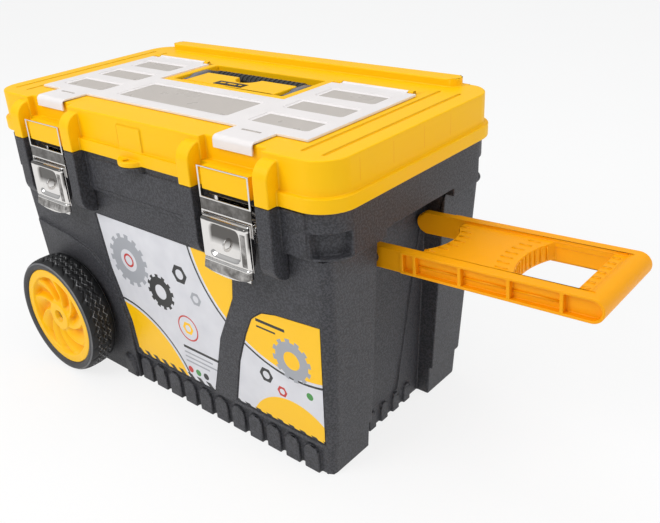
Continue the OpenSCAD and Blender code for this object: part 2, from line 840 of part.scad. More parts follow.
module lid_shell() {
    bay = latch_w / 2 + 7;
    color(yellow)
        difference() {
            union() {
                slab(lid_l, lid_w, lid_r, lid_z, rim_h);
                slab(crown_l, crown_w, lid_r - crown_inset, rim_top - eps, crown_h + eps);
                translate([0, crown_w / 2 - bead_w / 2, 0])
                    slab(crown_l - 2 * lid_r, bead_w, bead_w / 2 - eps, deck_z - eps, bead_h);
                guard_ribs() guard_head();
                // Keeper blocks that the latch frames reach over
                for (side = [-1, 1])
                    block(side * latch_x - latch_w / 2 + frame_side + loose_gap,
                        side * latch_x + latch_w / 2 - frame_side - loose_gap,
                        plate_y + loose_gap, front_y + 4, lid_z, keeper_top);
                // Padlock tongue, handle panel and hinge knuckles
                rod_z(lock_half, lid_z, lid_z + lock_t, 0, guard_y + lock_half);
                block(-lock_half, lock_half, front_y - badge_rise, front_y + badge_rise, rim_top - eps,
                    deck_z - 8);
                block(-panel_w / 2 + 3, panel_w / 2 - 3, panel_front + 2, recess_back + 6,
                    deck_z - eps, panel_top);
                for (side = [-1, 1]) {
                    x = side * hinge_x;
                    half = knuckle_l / 2 - loose_gap;
                    block(x - half, x + half, crown_w / 2 - 2, lid_hinge_y, lid_hinge_z,
                        lid_hinge_z + knuckle_r);
                    rod_x(knuckle_r, x - half, x + half, lid_hinge_y, lid_hinge_z);
                    // Ears of the cover hinge
                    for (end = [barrel_in - 8, barrel_out + 0.5])
                        side_block(side, end, end + 7.5, hinge_y - 4, hinge_y + 4, deck_z - 3,
                            hinge_z + hinge_r + loose_gap);
                }
            }
            // Hollow under the deck
            slab(crown_l - 2 * lid_wall, crown_w - 26, lid_r - crown_inset - lid_wall, lid_z - 1,
                pocket_floor - lid_wall - lid_z + 1);
            for (side = [-1, 1])
                side_block(side, pocket_out + lid_wall, crown_l / 2 - lid_wall - 6, -deck_hollow, deck_hollow,
                    lid_z - 1, deck_z - lid_wall);
            block(-pocket_out, pocket_out, recess_back + 8, crown_w / 2 - 14, lid_z - 1, deck_z - lid_wall);
            block(-pocket_out, pocket_out, front_y + 13, pocket_front - lid_wall, lid_z - 1,
                deck_z - lid_wall);
            // Pockets, handle recess and the trough of the cover hinge
            pockets(0, pocket_floor, deck_z + 5);
            difference() {
                block(-recess_w / 2, recess_w / 2, recess_front, recess_back, recess_floor, deck_z + 20);
                carry_island();
            }
            for (side = [-1, 1])
                side_block(side, barrel_in - 0.5, barrel_out + 0.5, hinge_y - 5, hinge_y + 5,
                    hinge_z - hinge_r - 1, deck_z + 5);
            // Grooves across the deck and the bays that the cover tabs curl into
            for (side = [-1, 1]) {
                for (x = groove_x)
                    block(side * x - groove_half, side * x + groove_half, -135, 113, deck_z - groove_half,
                        deck_z + 1);
                block(side * latch_x - bay, side * latch_x + bay, guard_y - 1, front_y + 9,
                    keeper_top + loose_gap, deck_z + 1);
            }
            // Bores
            for (side = [-1, 1]) {
                rod_x(lid_pin_r + pin_gap, side * hinge_x - knuckle_l, side * hinge_x + knuckle_l,
                    lid_hinge_y, lid_hinge_z);
                side_rod(side, hinge_pin_r, barrel_in - 9, barrel_out + 9, hinge_y, hinge_z);
            }
            rod_x(carry_pin_r, -recess_w / 2 - carry_pin_l, recess_w / 2 + carry_pin_l, carry_y, carry_z);
            rod_z(shackle_r, lid_z - 1, lid_z + 2 * lock_t, 0, shackle_y);
        }
}

// Drop-in bin with cross walls under the window bars of the cover
module bin_side(side) {
    gap = loose_gap;
    inner = min(side * (pocket_in + gap), side * (pocket_out - gap));
    outer = max(side * (pocket_in + gap), side * (pocket_out - gap));
    length = pocket_back - pocket_front;
    third = length / 3;
    color("dimgray")
        difference() {
            block(inner, outer, pocket_front + gap, pocket_back - gap, pocket_floor + seat_gap, deck_z - 2);
            for (i = [0:2])
                block(inner + bin_wall, outer - bin_wall, pocket_front + i * third + gap + bin_wall,
                    pocket_front + (i + 1) * third - gap - bin_wall, pocket_floor + bin_wall, deck_z);
        }
}

module organiser_bin_left() {
    bin_side(-1);
}

module organiser_bin_right() {
    bin_side(1);
}

module organiser_bin_centre() {
    half = pocket_in - divider - loose_gap;
    back = panel_front - 6 - loose_gap;
    color("dimgray")
        difference() {
            block(-half, half, pocket_front + loose_gap, back, pocket_floor + seat_gap, deck_z - 2);
            for (side = [-1, 1])
                side_block(side, bin_wall / 2, half - bin_wall, pocket_front + loose_gap + bin_wall,
                    back - bin_wall, pocket_floor + bin_wall, deck_z);
        }
}

module cover_hinge_pins() {
    color(steel)
        for (side = [-1, 1])
            side_rod(side, hinge_pin_r, barrel_in - 8, barrel_out + 8, hinge_y, hinge_z);
}

module carry_handle_pins() {
    color(steel)
        for (side = [-1, 1])
            side_rod(side, carry_pin_r, carry_l / 2 + 2, recess_w / 2 + carry_pin_l, carry_y, carry_z);
}

// Clear cover that wraps round the handle panel
module organiser_cover() {
    pane_z = cover_z + cover_t - window_sunk;
    tip = cover_front - tab_reach;
    color("lavender", 0.6)
        difference() {
            union() {
                block(-cover_half, cover_half, cover_front, cover_back, cover_z, cover_z + cover_t);
                for (side = [-1, 1]) {
                    x = side * latch_x;
                    block(x - tab_w / 2, x + tab_w / 2, tip, cover_front + 1, cover_z, cover_z + cover_t);
                    block(x - tab_w / 2, x + tab_w / 2, tip, tip + tab_t, cover_z - tab_drop, cover_z + eps);
                    side_block(side, barrel_in, barrel_out, cover_back - 1, hinge_y, cover_z,
                        cover_z + cover_t);
                    side_rod(side, hinge_r, barrel_in, barrel_out, hinge_y, hinge_z);
                }
            }
            block(-panel_w / 2, panel_w / 2, panel_front - 2, cover_back + 10, cover_z - 1, cover_z + 10);
            // Sunk windows
            for (side = [-1, 1], row = [0:2]) {
                front = window_front + row * window_pitch;
                side_block(side, window_in, window_out, front, front + window_d, pane_z, cover_z + 10);
            }
            block(-centre_window, centre_window, window_front - 1, -31, pane_z, cover_z + 10);
            for (side = [-1, 1])
                side_rod(side, hinge_pin_r + pin_gap, barrel_in - 1, barrel_out + 1, hinge_y, hinge_z);
        }
}

module carry_handle_bail() {
    grip_y = carry_y + carry_reach;
    core_r = carry_grip_r - 4;
    color("#202022")
        difference() {
            union() {
                for (side = [-1, 1]) {
                    inner = side * carry_l / 2;
                    outer = side * (carry_l / 2 + carry_arm);
                    along_x(min(inner, outer), max(inner, outer)) {
                        translate([carry_y, carry_z]) circle(carry_eye_r);
                        translate([grip_y, carry_z]) circle(carry_eye_r);
                        translate([carry_y, carry_z - carry_eye_r + 2])
                            square([carry_reach, 2 * carry_eye_r - 4]);
                    }
                }
                rod_x(core_r, -carry_l / 2 - 1, carry_l / 2 + 1, grip_y, carry_z);
            }
            rod_x(carry_pin_r + pin_gap, -recess_w, recess_w, carry_y, carry_z);
        }
}

// Ribbed sleeve on the carry handle
module carry_handle_grip() {
    grip_y = carry_y + carry_reach;
    bore_r = carry_grip_r - 4 + 0.1;
    ring = 8;
    groove = 1.5;
    count = floor((carry_l - ring) / ring);
    color("#151517")
        difference() {
            union() {
                rod_x(carry_grip_r - groove, -carry_l / 2 + loose_gap, carry_l / 2 - loose_gap,
                    grip_y, carry_z);
                for (i = [0:count - 1]) {
                    start = (i - count / 2) * ring;
                    rod_x(carry_grip_r, start + groove, start + ring - groove, grip_y, carry_z);
                }
            }
            rod_x(bore_r, -carry_l, carry_l, grip_y, carry_z);
        }
}

// Opening of the pull handle in plan: square at the end bar, arched towards the pivot
module pull_window() {
    intersection() {
        translate([pull_window_x, -pull_window_w / 2]) square([pull_window_l, pull_window_w]);
        translate([pull_window_x + pull_arch_r, 0]) circle(pull_arch_r, $fn = wheel_fn);
    }
}

// Wall round the arched side of that opening
module pull_window_wall() {
    intersection() {
        translate([pull_window_x - pull_arch_t, -pull_window_w / 2 - 2])
            square([pull_arch + 2 * pull_arch_t, pull_window_w + 4]);
        translate([pull_window_x + pull_arch_r, 0])
            difference() {
                circle(pull_arch_r + pull_arch_t, $fn = wheel_fn);
                circle(pull_arch_r, $fn = wheel_fn);
            }
    }
}

// Pull handle: two ribbed rails, a plate between them, an arched window and a round end bar
module pull_handle() {
    half = pull_w / 2;
    end_x = pull_l - pull_h / 2;
    end_cell = rail_cell_x + 3 * (rail_cell_l + rail_rib);
    color("orange")
        translate([pull_x, 0, pull_z])
            rotate([0, -pull_tilt, 0])
                difference() {
                    union() {
                        for (m = [0, 1]) mirror([0, m, 0]) {
                            along_y(half - rail_w, half) {
                                circle(pull_h / 2);
                                translate([0, -pull_h / 2]) square([end_x, pull_h]);
                                translate([end_x, 0]) circle(pull_h / 2);
                            }
                        }
                        rod_y(pull_h / 2, -half, half, end_x, 0);
                        translate([0, 0, pull_h / 2 - pull_plate_drop])
                            linear_extrude(pull_plate_t)
                                difference() {
                                    translate([pull_plate_x, -half + 1])
                                        square([end_x - pull_plate_x, pull_w - 2]);
                                    translate([pull_plate_x - 40, 0]) circle(52);
                                    pull_window();
                                }
                        translate([0, 0, -pull_h / 2 + rail_flange])
                            linear_extrude(pull_h - rail_flange - pull_plate_drop + pull_plate_t)
                                pull_window_wall();
                    }
                    // Channels along the outside of the rails
                    for (m = [0, 1]) mirror([0, m, 0])
                        for (cell = [-1:2]) {
                            long = cell < 0 ? rail_cell_first : rail_cell_l;
                            start = cell < 0 ? -long - rail_rib : cell * (rail_cell_l + rail_rib);
                            translate([rail_cell_x + start, half - rail_sunk, -pull_h / 2 + rail_flange])
                                cube([long, rail_sunk + 1, pull_h - 2 * rail_flange]);
                        }
                    for (m = [0, 1]) mirror([0, m, 0])
                        rod_y(pull_pin_r + pin_gap, half - rail_w + pull_skin, half + 1, 0, 0);
                    for (m = [0, 1]) mirror([0, m, 0]) {
                        // Slimmer start of the rail and hollow end of the end bar
                        translate([-pull_h, half - pull_slim, -pull_h])
                            cube([pull_h + pull_start, pull_slim + 1, 2 * pull_h]);
                        along_y(half - rail_sunk, half + 1) {
                            translate([end_x, 0]) circle(pull_h / 2 - rail_flange);
                            translate([end_cell, -pull_h / 2 + rail_flange])
                                square([end_x - end_cell, pull_h - 2 * rail_flange]);
                        }
                    }
                }
}

body_tub();
wheel_axles();
axle_caps();
latch_base_left();
latch_base_right();
latch_rivets();
latch_lever_pins();
lid_hinge_pins();
pull_handle_pins();
centre_label();
side_label();
tote_tray();
tote_tray_handle();
lid_shell();
organiser_bin_left();
organiser_bin_centre();
organiser_bin_right();
cover_hinge_pins();
carry_handle_pins();
organiser_cover();
carry_handle_bail();
carry_handle_grip();
latch_lever_left();
latch_lever_right();
latch_frame_left();
latch_frame_right();
latch_frame_pins_left();
latch_frame_pins_right();
pull_handle();
wheel_disc_front();
wheel_disc_rear();
tyre_front();
tyre_rear();
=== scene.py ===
# %% [markdown]
# # A wheeled tool chest
# The packed model gives every piece at its real size, in metres: X runs along the chest towards the pull
# handle, -Y is the latch side and Z is up. This lesson dresses that model. Moulded shells keep their shape
# and gain rounded edges, pressed and turned pieces are modelled afresh, and every surface gets a finish.

# %% Load the packed chest
import json
import math

import bmesh
import bpy
from mathutils import Matrix, Vector


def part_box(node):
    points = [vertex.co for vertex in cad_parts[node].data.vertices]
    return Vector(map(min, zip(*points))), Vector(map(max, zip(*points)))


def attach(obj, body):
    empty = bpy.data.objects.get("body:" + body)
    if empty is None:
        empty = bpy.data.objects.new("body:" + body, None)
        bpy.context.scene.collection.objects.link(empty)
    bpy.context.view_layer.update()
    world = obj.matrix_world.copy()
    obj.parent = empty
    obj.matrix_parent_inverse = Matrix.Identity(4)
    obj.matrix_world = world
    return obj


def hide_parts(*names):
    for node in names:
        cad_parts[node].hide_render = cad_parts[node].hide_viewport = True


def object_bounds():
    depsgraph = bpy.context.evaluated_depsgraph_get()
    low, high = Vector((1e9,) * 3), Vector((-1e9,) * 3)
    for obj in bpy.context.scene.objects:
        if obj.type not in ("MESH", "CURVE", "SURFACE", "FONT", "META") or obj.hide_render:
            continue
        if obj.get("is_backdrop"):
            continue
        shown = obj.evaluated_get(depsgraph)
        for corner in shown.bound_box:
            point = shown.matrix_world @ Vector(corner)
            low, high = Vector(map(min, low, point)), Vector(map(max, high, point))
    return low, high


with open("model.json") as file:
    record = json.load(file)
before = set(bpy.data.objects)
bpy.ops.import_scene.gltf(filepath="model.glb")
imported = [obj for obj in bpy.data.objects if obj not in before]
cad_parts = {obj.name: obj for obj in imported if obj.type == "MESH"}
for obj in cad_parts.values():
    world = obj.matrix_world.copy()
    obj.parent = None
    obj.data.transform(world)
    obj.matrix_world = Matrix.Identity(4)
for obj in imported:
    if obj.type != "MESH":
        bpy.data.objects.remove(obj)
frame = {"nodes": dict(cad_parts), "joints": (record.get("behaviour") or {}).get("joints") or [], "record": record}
cad_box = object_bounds()
record = frame["record"]
MM = 0.001
body_of_node = {n: body for body, names in record["behaviour"]["bodies"].items() for n in names}

# %% [markdown]
# ## The camera
# The photograph looks down on the chest from its front right. A camera can be set by eye, but numbers are
# exact: the place of the lens, two angles and a roll, and how long the lens is in pixels. The shift keeps
# the optical axis where the photograph has it.

# %% Place the camera
IMAGE_W, IMAGE_H = 660, 523
CAMERA_AT = Vector((0.7414, -0.6719, 0.6470))
AZIMUTH, ELEVATION, ROLL = (math.radians(a) for a in (43.07, 25.71, -4.12))
FOCAL_PX = 784.4
AXIS_PX = (300.9, 248.1)


def camera_axes():
    back = Vector((math.sin(AZIMUTH) * math.cos(ELEVATION), -math.cos(AZIMUTH) * math.cos(ELEVATION),
                   math.sin(ELEVATION)))
    level = (-back).cross(Vector((0, 0, 1))).normalized()
    upright = level.cross(-back)
    right = math.cos(ROLL) * level + math.sin(ROLL) * upright
    up = math.cos(ROLL) * upright - math.sin(ROLL) * level
    return right, up, back


lens = bpy.data.cameras.new("camera")
lens.sensor_width = 36
lens.lens = FOCAL_PX / IMAGE_W * lens.sensor_width
lens.shift_x = (IMAGE_W / 2 - AXIS_PX[0]) / IMAGE_W
lens.shift_y = (AXIS_PX[1] - IMAGE_H / 2) / IMAGE_W
camera = bpy.data.objects.new("camera", lens)
bpy.context.collection.objects.link(camera)
camera.matrix_world = Matrix.Translation(CAMERA_AT) @ Matrix(camera_axes()).transposed().to_4x4()
bpy.context.scene.camera = camera
bpy.context.scene.view_settings.view_transform = "Standard"
print("lens", round(lens.lens, 2), "mm")

# %% [markdown]
# ## Shader maths
# A finish could be wired node by node, but it is easier to read as a sum than as a web. One small class
# wraps a socket, so that `1 - mask` or `grain * 0.2` adds the Math node that it stands for. Colours go
# through Mix.

# %% Wrap a socket


class Flow:
    """A value in a finish; arithmetic on it adds Math nodes."""

    def __init__(self, finish, socket):
        self.finish = finish
        self.socket = socket

    def math(self, operation, *values):
        return self.finish.node("ShaderNodeMath", dict(enumerate(values)), operation=operation)

    def __add__(self, other):
        return self.math("ADD", self, other)

    def __sub__(self, other):
        return self.math("SUBTRACT", self, other)

    def __rsub__(self, other):
        return self.math("SUBTRACT", other, self)

    def __mul__(self, other):
        return self.math("MULTIPLY", self, other)

    def __truediv__(self, other):
        return self.math("DIVIDE", self, other)

    def __rtruediv__(self, other):
        return self.math("DIVIDE", other, self)

    def __lt__(self, other):
        return self.math("LESS_THAN", self, other)

    def __gt__(self, other):
        return self.math("GREATER_THAN", self, other)

    __radd__ = __add__
    __rmul__ = __mul__

    def of(self, operation, *others):
        return self.math(operation, self, *others)

    def clamp(self):
        return self.of("MAXIMUM", 0.0).of("MINIMUM", 1.0)


print("reflected operators", [name for name in vars(Flow) if name.startswith("__r")])

# %% Trees and finishes


class Graph:
    """A node tree and the one way to add a node to it."""

    def __init__(self, tree):
        self.tree = tree

    def node(self, kind, inputs=None, out=0, **settings):
        made = self.tree.nodes.new(kind)
        for key, value in settings.items():
            setattr(made, key, value)
        for key, value in (inputs or {}).items():
            if isinstance(value, Flow):
                self.tree.links.new(value.socket, made.inputs[key])
            else:
                made.inputs[key].default_value = value
        return Flow(self, made.outputs[out])

    def axes(self, vector):
        split = self.node("ShaderNodeSeparateXYZ", {0: vector})
        return [Flow(self, s) for s in split.socket.node.outputs]

    def blend(self, amount, first, second):
        return self.node("ShaderNodeMix", {0: amount, 6: first, 7: second}, out=2, data_type="RGBA")

    def end(self, shader):
        self.tree.links.new(shader.socket, self.node_named("OUTPUT").inputs[0])

    def node_named(self, word):
        return next(n for n in self.tree.nodes if word in n.type)


class Finish(Graph):
    """A material with one Principled shader and methods that add nodes to it."""

    def __init__(self, name, **constants):
        self.material = bpy.data.materials.new(name)
        self.material.use_nodes = True
        super().__init__(self.material.node_tree)
        self.shader = self.node_named("BSDF_PRINCIPLED")
        for key, value in constants.items():
            self.shader.inputs[key.replace("_", " ")].default_value = value

    def place(self):
        return self.node("ShaderNodeTexCoord", out=3)

    def xyz(self):
        return self.axes(self.place())

    def noise(self, scale, detail=2.0, rough=0.5):
        return self.node("ShaderNodeTexNoise", {"Vector": self.place(), "Scale": scale, "Detail": detail,
                                                "Roughness": rough})

    def bump(self, height, depth, strength=1.0):
        normal = self.node("ShaderNodeBump", {"Height": height, "Distance": depth, "Strength": strength})
        self.feed("Normal", normal)

    def feed(self, key, value):
        self.tree.links.new(value.socket, self.shader.inputs[key])


def shade(colour, factor):
    return tuple(min(1.0, c * factor) for c in colour[:3]) + (1.0,)


print("helpers", [kind.__name__ for kind in (Flow, Graph, Finish)])

# %% [markdown]
# ## Finishes
# The tub and lid are moulded polypropylene with a spark-eroded grain: a fine bump, a cloudy change of tone
# and a roughness that wanders with it. A picture could carry the grain, but noise in the piece's own space
# has no seams and needs no unwrapping.

# %% Moulded plastics


def moulded(name, colour, grain, depth, gloss, cloud, grit=0.0, shine=0.4, tint=None):
    """A grained plastic; grit mottles it, and tint(finish, tone) may change the tone from place to place."""
    finish = Finish(name, Specular_IOR_Level=shine)
    fine = finish.noise(grain, 3.0, 0.6)
    slow = finish.noise(14.0, 3.0, 0.55)
    tone = finish.blend(slow, shade(colour, 1 - cloud), shade(colour, 1 + cloud))
    if grit:
        speckle = ((finish.noise(420.0, 2.0, 0.6) - 0.5) * 8.0 + 0.4).clamp()
        tone = finish.blend(speckle * grit, tone, shade(colour, 2.4))
    if tint:
        tone = tint(finish, tone)
    finish.feed("Base Color", tone)
    finish.feed("Roughness", gloss + 0.16 * (slow - 0.5) + 0.12 * (fine - 0.5))
    finish.bump(fine, depth)
    return finish.material


def between(value, low, high):
    """1 where a value lies between two levels, 0 elsewhere."""
    return (value > low) * (value < high)


def end_lines(finish, tone):
    """Faint upright parting lines on the right-hand end of the lid."""
    x, y, z = finish.xyz()
    lines = 0.0
    for place in PARTING_Y:
        lines = lines + ((y - place).of("ABSOLUTE") < 0.5 * MM)
    panel = (x > LID_END) * between(z, *PARTING_Z)
    return finish.blend(lines * panel * 0.4, tone, DEEP_YELLOW)


PARTING_Y, PARTING_Z = (-0.108, -0.052, 0.004, 0.056), (0.372, 0.396)
LID_END = 0.29
YELLOW = (1.0, 0.545, 0.0)
DEEP_YELLOW = (0.86, 0.28, 0.0, 1)
black_plastic = moulded("charcoal_grained", (0.028, 0.028, 0.032), 1100.0, 0.0004, 0.5, 0.12, 0.8)
arm_plastic = moulded("arm_grey", (0.16, 0.17, 0.20), 1500.0, 0.0001, 0.3, 0.1)
yellow_plastic = moulded("yellow_grained", YELLOW, 1300.0, 0.00012, 0.42, 0.03, 0.0, 0.2)
lid_yellow = moulded("lid_yellow", YELLOW, 1300.0, 0.00012, 0.42, 0.03, 0.0, 0.2, end_lines)
orange_plastic = moulded("orange_grained", (0.97, 0.39, 0.0), 1300.0, 0.00012, 0.42, 0.04, 0.0, 0.2)
grey_plastic = moulded("grey_tray", (0.10, 0.10, 0.105), 1100.0, 0.00018, 0.48, 0.10)
grip_plastic = moulded("black_grip", (0.018, 0.018, 0.019), 1500.0, 0.0002, 0.40, 0.10, 0.2)
print("plastics ready")

# %% [markdown]
# The tyres are hard rubber, with pale zigzag lines along the tread's grooves and a painted highlight ring
# on the sidewall. The latches are bright plated steel, which shows mostly what stands round it, so painted
# dark reflections mark the bands that mirror the tub.
# The cover is a milky plastic with thinner, clearer panes. Each is one shader with masks made of distances,
# so that the marks stay put when the piece moves.

# %% Rubber
tyre_low, tyre_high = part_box("tyre_front")
WHEEL = (tyre_low + tyre_high) / 2
TYRE_R = (tyre_high.x - tyre_low.x) / 2
SHOULDER = 6 * MM
TREAD_HALF = (tyre_high.y - tyre_low.y) / 2 - SHOULDER
ZIGZAGS, ZIG = 44, 0.16
TREAD_ROWS = (-0.55, 0.0, 0.55)
ZIGZAG_LINE_IN, WALL_IN, RING_IN, RING_HALF = 3.2 * MM, 3.6 * MM, 4.5 * MM, 1.0 * MM


def tyre_rubber():
    """Dark rubber with pale zigzag lines along the tread's grooves and a painted highlight ring on the sidewall.
    """
    finish = Finish("tyre_rubber", Specular_IOR_Level=0.4)
    x, y, z = finish.xyz()
    along, up = x - WHEEL.x, z - WHEEL.z
    reach = (along.of("POWER", 2.0) + up.of("POWER", 2.0)).of("SQRT")
    turn = up.of("ARCTAN2", along) * (ZIGZAGS / math.tau)
    wave = (turn.of("FRACT") * 2.0 - 1.0).of("ABSOLUTE") * 2.0 - 1.0
    across = (y.of("ABSOLUTE") - abs(WHEEL.y)) / TREAD_HALF
    mottle = finish.noise(60.0, 6.0, 0.65)
    pale_zigzag_lines = 0.0
    # Pale zigzag lines along the tread's grooves, broken up by noise.
    for row in TREAD_ROWS:
        pale_zigzag_lines = pale_zigzag_lines + ((across - ZIG * wave - row).of("ABSOLUTE") < 0.045)
    pale_zigzag_lines = pale_zigzag_lines * (reach > TYRE_R - ZIGZAG_LINE_IN) * ((mottle - 0.42) * 8.0).clamp()
    # Painted highlight: a pale ring near the sidewall's outer edge, broken up by noise.
    ring = ((reach - (TYRE_R - RING_IN)).of("ABSOLUTE") < RING_HALF) * (mottle * 1.4).clamp()
    wall = reach < TYRE_R - WALL_IN
    tone = finish.blend((mottle - 0.35) * 1.2, (0.006, 0.006, 0.007, 1), (0.022, 0.022, 0.022, 1))
    tone = finish.blend(wall * 0.7, tone, (0.070, 0.070, 0.074, 1))
    tone = finish.blend(ring * 0.6, tone, (0.30, 0.30, 0.31, 1))
    tone = finish.blend(pale_zigzag_lines * 0.55, tone, (0.42, 0.42, 0.43, 1))
    finish.feed("Base Color", tone)
    finish.feed("Roughness", 0.42 + 0.3 * mottle)
    finish.bump(finish.noise(700.0, 3.0, 0.6), 0.0002)
    return finish.material


rubber = tyre_rubber()
print("tyre radius", round(TYRE_R / MM, 1), "mm")

# %% Plating and the clear cover
PAINTED_REFLECTION_DARK = (0.06, 0.055, 0.05, 1)
STRAP_FOOT, STRAP_TOP = 19 * MM, 32.5 * MM


def plated(name, colour, rough, streak, tint=None):
    finish = Finish(name, Metallic=1.0)
    patchiness = finish.noise(35.0, 4.0, 0.6)
    fine = finish.noise(420.0, 2.0, 0.5)
    tone = finish.blend(patchiness, shade(colour, 0.86), shade(colour, 1.05))
    finish.feed("Base Color", tint(finish, tone) if tint else tone)
    finish.feed("Roughness", rough + streak * patchiness)
    finish.bump(patchiness + 0.12 * fine, 0.0006, 0.35)
    return finish.material


def milky(name, colour, alpha, rough):
    finish = Finish(name, Specular_IOR_Level=0.5, Alpha=alpha)
    slow = finish.noise(30.0, 3.0, 0.5)
    fine = finish.noise(800.0, 2.0, 0.5)
    finish.feed("Base Color", finish.blend(slow, shade(colour, 0.95), shade(colour, 1.04)))
    finish.feed("Roughness", rough + 0.14 * slow)
    finish.bump(fine, 0.00008)
    return finish.material


def strap_painted_reflection(finish, tone):
    """Painted reflection of the dark collar on the strap under the frame's window, between two bright edges."""
    _, _, z = finish.xyz()
    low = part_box("latch_frame_left")[0].z
    patchiness = (0.7 + 0.5 * finish.noise(120.0, 3.0, 0.6)).clamp()
    strap = between(z, low + STRAP_FOOT, low + STRAP_TOP) * patchiness
    return finish.blend(strap * 0.95, tone, PAINTED_REFLECTION_DARK)


chrome = plated("bright_plating", (0.76, 0.74, 0.72), 0.05, 0.07)
# The frame's plating carries a painted dark reflection on its strap.
strap_chrome_painted_reflection = plated("strap_plating_painted_reflection", (0.76, 0.74, 0.72), 0.05, 0.07, strap_painted_reflection)
steel = plated("turned_steel", (0.60, 0.60, 0.61), 0.22, 0.12)
cover_milky = milky("milky_cover", (0.86, 0.82, 0.81), 0.95, 0.3)
cover_window = milky("window_pane", (0.60, 0.55, 0.50), 0.72, 0.22)
print("platings and cover finishes ready")

# %% [markdown]
# ## The printed film
# Each label place is a stuck-on printed film with a plain design: a pale field, a yellow sweep, grey gear
# outlines and a few chips of colour. It could be drawn as a picture, but distance arithmetic on X and Z is
# sharp at any size and needs no file.

# %% Printed label film


def disc(x, z, centre_x, centre_z, radius):
    return ((x - centre_x).of("POWER", 2.0) + (z - centre_z).of("POWER", 2.0)).of("SQRT") < radius


def gear(x, z, centre_x, centre_z, radius, teeth):
    across, up = x - centre_x, z - centre_z
    reach = (across.of("POWER", 2.0) + up.of("POWER", 2.0)).of("SQRT")
    wave = (up.of("ARCTAN2", across) * float(teeth)).of("SINE").of("SIGN")
    body = reach < (radius + 0.08 * radius * wave)
    return body * (1 - (reach < 0.45 * radius))


def bar(x, z, x0, x1, z0, z1):
    return between(x, x0, x1) * between(z, z0, z1)


def ring(x, z, centre_x, centre_z, radius, width):
    return disc(x, z, centre_x, centre_z, radius) - disc(x, z, centre_x, centre_z, radius - width)


def nut(x, z, centre_x, centre_z, size):
    """A hexagon with a round hole."""
    across, up = (x - centre_x).of("ABSOLUTE"), (z - centre_z).of("ABSOLUTE")
    body = (up < 0.866 * size) * (across + up * 0.577 < size)
    return body * (1 - disc(x, z, centre_x, centre_z, 0.5 * size))


def printed_film():
    finish = Finish("printed_film", Specular_IOR_Level=0.4)
    x, _, z = finish.xyz()
    paper = finish.blend(finish.noise(40.0), (0.60, 0.60, 0.64, 1), (0.76, 0.76, 0.79, 1))
    yellow, ink, grey = (1.0, 0.56, 0.0, 1), (0.02, 0.02, 0.02, 1), (0.36, 0.37, 0.40, 1)
    red, green = (0.55, 0.03, 0.02, 1), (0.06, 0.28, 0.06, 1)
    layers = [
        (disc(x, z, 0.225, 0.285, 0.155), yellow), (disc(x, z, -0.10, -0.01, 0.135), yellow),
        (disc(x, z, 0.215, 0.015, 0.075), yellow),
        (ring(x, z, 0.225, 0.285, 0.162, 0.003), ink), (ring(x, z, -0.10, -0.01, 0.142, 0.003), ink),
        (gear(x, z, -0.062, 0.198, 0.036, 14), grey), (gear(x, z, -0.004, 0.168, 0.024, 12), ink),
        (gear(x, z, 0.221, 0.150, 0.027, 12), grey), (ring(x, z, -0.062, 0.198, 0.010, 0.003), red),
        (nut(x, z, 0.042, 0.208, 0.014), ink), (nut(x, z, 0.066, 0.180, 0.010), grey),
        (nut(x, z, 0.176, 0.112, 0.011), ink), (nut(x, z, 0.200, 0.098, 0.008), red),
        (ring(x, z, 0.040, 0.128, 0.019, 0.0022), red), (nut(x, z, 0.040, 0.128, 0.010), yellow),
        (bar(x, z, 0.024, 0.092, 0.094, 0.098), ink), (bar(x, z, 0.024, 0.078, 0.086, 0.0885), grey),
        (bar(x, z, 0.024, 0.085, 0.079, 0.0815), grey), (bar(x, z, 0.024, 0.070, 0.072, 0.0745), grey),
        (disc(x, z, 0.030, 0.060, 0.005), red), (disc(x, z, 0.045, 0.060, 0.005), green),
        (disc(x, z, 0.060, 0.060, 0.005), ink), (bar(x, z, 0.170, 0.215, 0.186, 0.190), ink),
        (bar(x, z, 0.170, 0.200, 0.178, 0.1805), ink), (disc(x, z, 0.244, 0.110, 0.005), green),
    ]
    tone = paper
    for mask, colour in layers:
        tone = finish.blend(mask, tone, colour)
    stripes = ((x + z) * 55.0).of("FRACT") < 0.5
    tone = finish.blend(bar(x, z, -0.2, 0.3, 0.0, 0.052) * stripes, tone, ink)
    finish.feed("Base Color", tone)
    finish.feed("Roughness", 0.3 + 0.1 * finish.noise(25.0))
    finish.bump(finish.noise(90.0), 0.0003, 0.2)
    return finish.material


label_film = printed_film()
print("finishes", len(bpy.data.materials))

# %% [markdown]
# ## Moulded shells
# A moulding has no knife edges. Each shell could be modelled afresh, but the CAD solid has the right form
# already. So it is copied, its flat triangles are joined again into whole faces, and a bevel that only
# takes real corners rounds them. The copy stands for its CAD node.

# %% Round the edges of the mouldings


def join_piece(name, mesh, body, finishes, nodes=()):
    piece = bpy.data.objects.new(name, mesh)
    bpy.context.collection.objects.link(piece)
    mesh.materials.clear()
    for finish in finishes:
        mesh.materials.append(finish)
    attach(piece, body)
    if nodes:
        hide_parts(*nodes)
    return piece


def smooth_all(mesh):
    mesh.polygons.foreach_set("use_smooth", [True] * len(mesh.polygons))


def weigh_edges(form, width, angle):
    """Mark the corner edges to be rounded, except beside slivers that leave no room for it."""
    weight = form.edges.layers.float.new("bevel_weight_edge")
    for edge in form.edges:
        if len(edge.link_faces) != 2 or edge.calc_face_angle(0.0) < angle:
            continue
        start = edge.verts[0].co
        along = (edge.verts[1].co - start).normalized()
        room = min(max(((v.co - start) - along * (v.co - start).dot(along)).length for v in face.verts)
                   for face in edge.link_faces)
        edge[weight] = 1.0 if room > 0.5 * width else 0.0


def round_edges(piece, width, segments):
    bevel = piece.modifiers.new("rounded_edges", "BEVEL")
    bevel.width = width
    bevel.segments = segments
    bevel.limit_method = "WEIGHT"
    bevel.use_clamp_overlap = False
    bevel.miter_outer = "MITER_ARC"
    flat = piece.modifiers.new("flat_faces", "WEIGHTED_NORMAL")
    flat.keep_sharp = True


